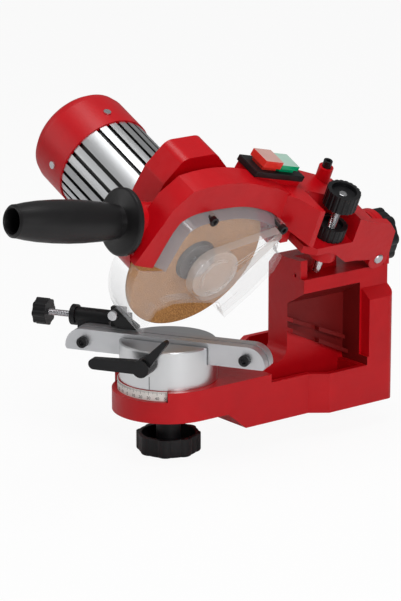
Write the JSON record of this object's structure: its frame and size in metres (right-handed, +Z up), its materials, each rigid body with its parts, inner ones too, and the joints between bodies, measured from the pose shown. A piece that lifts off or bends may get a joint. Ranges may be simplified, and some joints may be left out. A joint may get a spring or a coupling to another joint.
{
  "type": "electric chain sharpener",
  "caption": "Bench grinder for saw chains: a turning chain vise on a cast base, under a tilting, swinging disc head with guard, handle, motor and depth stop.",
  "frame": {"origin": "centre of the bench bolt pattern, in the plane of the foot's underside", "axes": "+X to the operator's right, +Y away from the operator towards the column, +Z up"},
  "size_m": [0.2607, 0.421, 0.3135],
  "materials": {
    "casting_red": "gloss enamel over a casting",
    "cap_red": "moulded, satin gloss",
    "vise_alloy": "turned",
    "rail_alloy": "satin",
    "motor_alloy": "extruded, bright",
    "bracket_paint": "gloss enamel",
    "black_plastic": "fine grain",
    "grip_plastic": "fine grain",
    "black_screw": "black oxide",
    "steel": "ground",
    "zinc": "zinc plated",
    "spring_steel": "oiled wire",
    "guard_clear": "clear moulded polycarbonate",
    "abrasive": "vitrified abrasive",
    "label": "printed",
    "switch_red": "moulded",
    "switch_green": "moulded",
    "copper": "enamelled copper wire",
    "core_steel": "stacked laminations",
    "inner_plastic": "moulded"
  },
  "bodies": {
    "base": {"base_casting": "casting_red", "bearing_plate": "casting_red", "angle_scale": "label", "tilt_washer": "zinc", "vise_lock_washer": "zinc"},
    "tilt_bracket": {"tilt_bracket": "bracket_paint", "tilt_stud": "steel", "pivot_pin": "steel", "return_spring": "spring_steel"},
    "tilt_knob": {"tilt_lock_knob": "black_plastic"},
    "head": {"head_housing": "casting_red", "guard_cover": "guard_clear", "guard_screws": "black_screw", "handle_grip": "grip_plastic", "handle_stud": "steel", "switch_frame": "black_plastic", "arm_screw": "black_screw", "motor_housing": "motor_alloy", "motor_cap": "cap_red", "cap_screws": "zinc", "stator_core": "core_steel", "field_windings": "copper", "rear_shield": "inner_plastic", "brush_holders": "copper", "front_bearing": "steel", "rear_bearing": "steel"},
    "stop_button": {"stop_button": "switch_red"},
    "start_button": {"start_button": "switch_green"},
    "spindle": {"spindle": "steel", "armature_core": "core_steel", "armature_windings": "copper", "commutator": "copper", "cooling_fan": "inner_plastic", "inner_flange": "steel", "grinding_disc": "abrasive", "outer_flange": "steel", "spindle_nut": "zinc"},
    "stop_rod": {"depth_stop_rod": "zinc"},
    "stop_knob": {"depth_stop_knob": "black_plastic"},
    "stop_nut": {"depth_stop_nut": "black_plastic"},
    "vise": {"vise_drum": "vise_alloy", "fixed_rail": "rail_alloy", "chain_stop_body": "black_plastic"},
    "vise_lock": {"vise_lock_knob": "black_plastic", "vise_lock_stud": "steel"},
    "clamp_rail": {"clamp_rail": "rail_alloy", "rail_screws": "black_screw"},
    "clamp_lever": {"clamp_lever": "black_plastic", "clamp_screw": "steel"},
    "chain_stop": {"chain_stop_slider": "black_plastic", "pawl_bolt": "zinc"},
    "chain_stop_screw": {"chain_stop_screw": "zinc", "chain_stop_knob": "black_plastic"},
    "pawl": {"chain_stop_pawl": "black_screw"}
  },
  "joints": [
    {"name": "head_tilt", "type": "hinge", "parent": "base", "child": "tilt_bracket", "pos_m": [0.027, 0.086, 0.15], "axis": [0, 1, 0], "range_deg": [-25, 0]},
    {"name": "tilt_knob_turn", "type": "hinge", "parent": "tilt_bracket", "child": "tilt_knob", "pos_m": [0.027, 0.098, 0.15], "axis": [0, 1, 0], "range_deg": [-360, 360]},
    {"name": "head_swing", "type": "hinge", "parent": "tilt_bracket", "child": "head", "pos_m": [0.02935, 0.068, 0.15503], "axis": [-0.9063, 0, 0.4226], "range_deg": [-1, 30], "stiffness_Nm_per_rad": 12, "springref_deg": 34.38},
    {"name": "stop_button_press", "type": "slide", "parent": "head", "child": "stop_button", "axis": [-0.4082, -0.2588, -0.8754], "range_m": [0, 0.0025], "stiffness_N_per_m": 500, "springref_m": -0.0005},
    {"name": "start_button_press", "type": "slide", "parent": "head", "child": "start_button", "axis": [-0.4082, -0.2588, -0.8754], "range_m": [0, 0.0025], "stiffness_N_per_m": 500, "springref_m": -0.0005},
    {"name": "spindle_spin", "type": "hinge", "parent": "head", "child": "spindle", "pos_m": [0.034, -0.127, 0.165], "axis": [0.9063, 0, -0.4226], "continuous": true},
    {"name": "depth_stop_travel", "type": "slide", "parent": "head", "child": "stop_rod", "axis": [0.4226, 0, 0.9063], "range_m": [-0.00125, 0.00625]},
    {"name": "depth_stop_turn", "type": "hinge", "parent": "stop_rod", "child": "stop_knob", "pos_m": [0.07084, 0.009, 0.19195], "axis": [0.4226, 0, 0.9063], "range_deg": [-360, 1800]},
    {"name": "depth_stop_nut_turn", "type": "hinge", "parent": "head", "child": "stop_nut", "pos_m": [0.07084, 0.009, 0.19195], "axis": [0.4226, 0, 0.9063], "range_deg": [-360, 360]},
    {"name": "vise_turn", "type": "hinge", "parent": "base", "child": "vise", "pos_m": [0, -0.13, 0.0462], "axis": [0, 0, 1], "range_deg": [-65, 5]},
    {"name": "vise_lock_turn", "type": "hinge", "parent": "base", "child": "vise_lock", "pos_m": [0, -0.13, -0.015], "axis": [0, 0, 1], "range_deg": [-360, 360]},
    {"name": "clamp_rail_slide", "type": "slide", "parent": "vise", "child": "clamp_rail", "axis": [0.5, -0.866, 0], "range_m": [0, 0.0015]},
    {"name": "clamp_lever_turn", "type": "hinge", "parent": "clamp_rail", "child": "clamp_lever", "pos_m": [0.028, -0.1785, 0.0715], "axis": [-0.5, 0.866, 0], "range_deg": [0, 45]},
    {"name": "chain_stop_travel", "type": "slide", "parent": "vise", "child": "chain_stop", "axis": [0.866, 0.5, 0], "range_m": [-0.003, 0.003]},
    {"name": "chain_stop_turn", "type": "hinge", "parent": "chain_stop", "child": "chain_stop_screw", "pos_m": [-0.09585, -0.16398, 0.09], "axis": [0.866, 0.5, 0], "range_deg": [-1080, 1080]},
    {"name": "pawl_lift", "type": "hinge", "parent": "chain_stop", "child": "pawl", "pos_m": [-0.0464, -0.15563, 0.1], "axis": [0.5, -0.866, 0], "range_deg": [0, 110]}
  ],
  "couplings": [
    {"joint": "depth_stop_turn", "follows": "depth_stop_travel", "rad_per_m": 5026.5},
    {"joint": "clamp_lever_turn", "follows": "clamp_rail_slide", "rad_per_m": 523.59},
    {"joint": "chain_stop_turn", "follows": "chain_stop_travel", "rad_per_m": 6283.1}
  ]
}
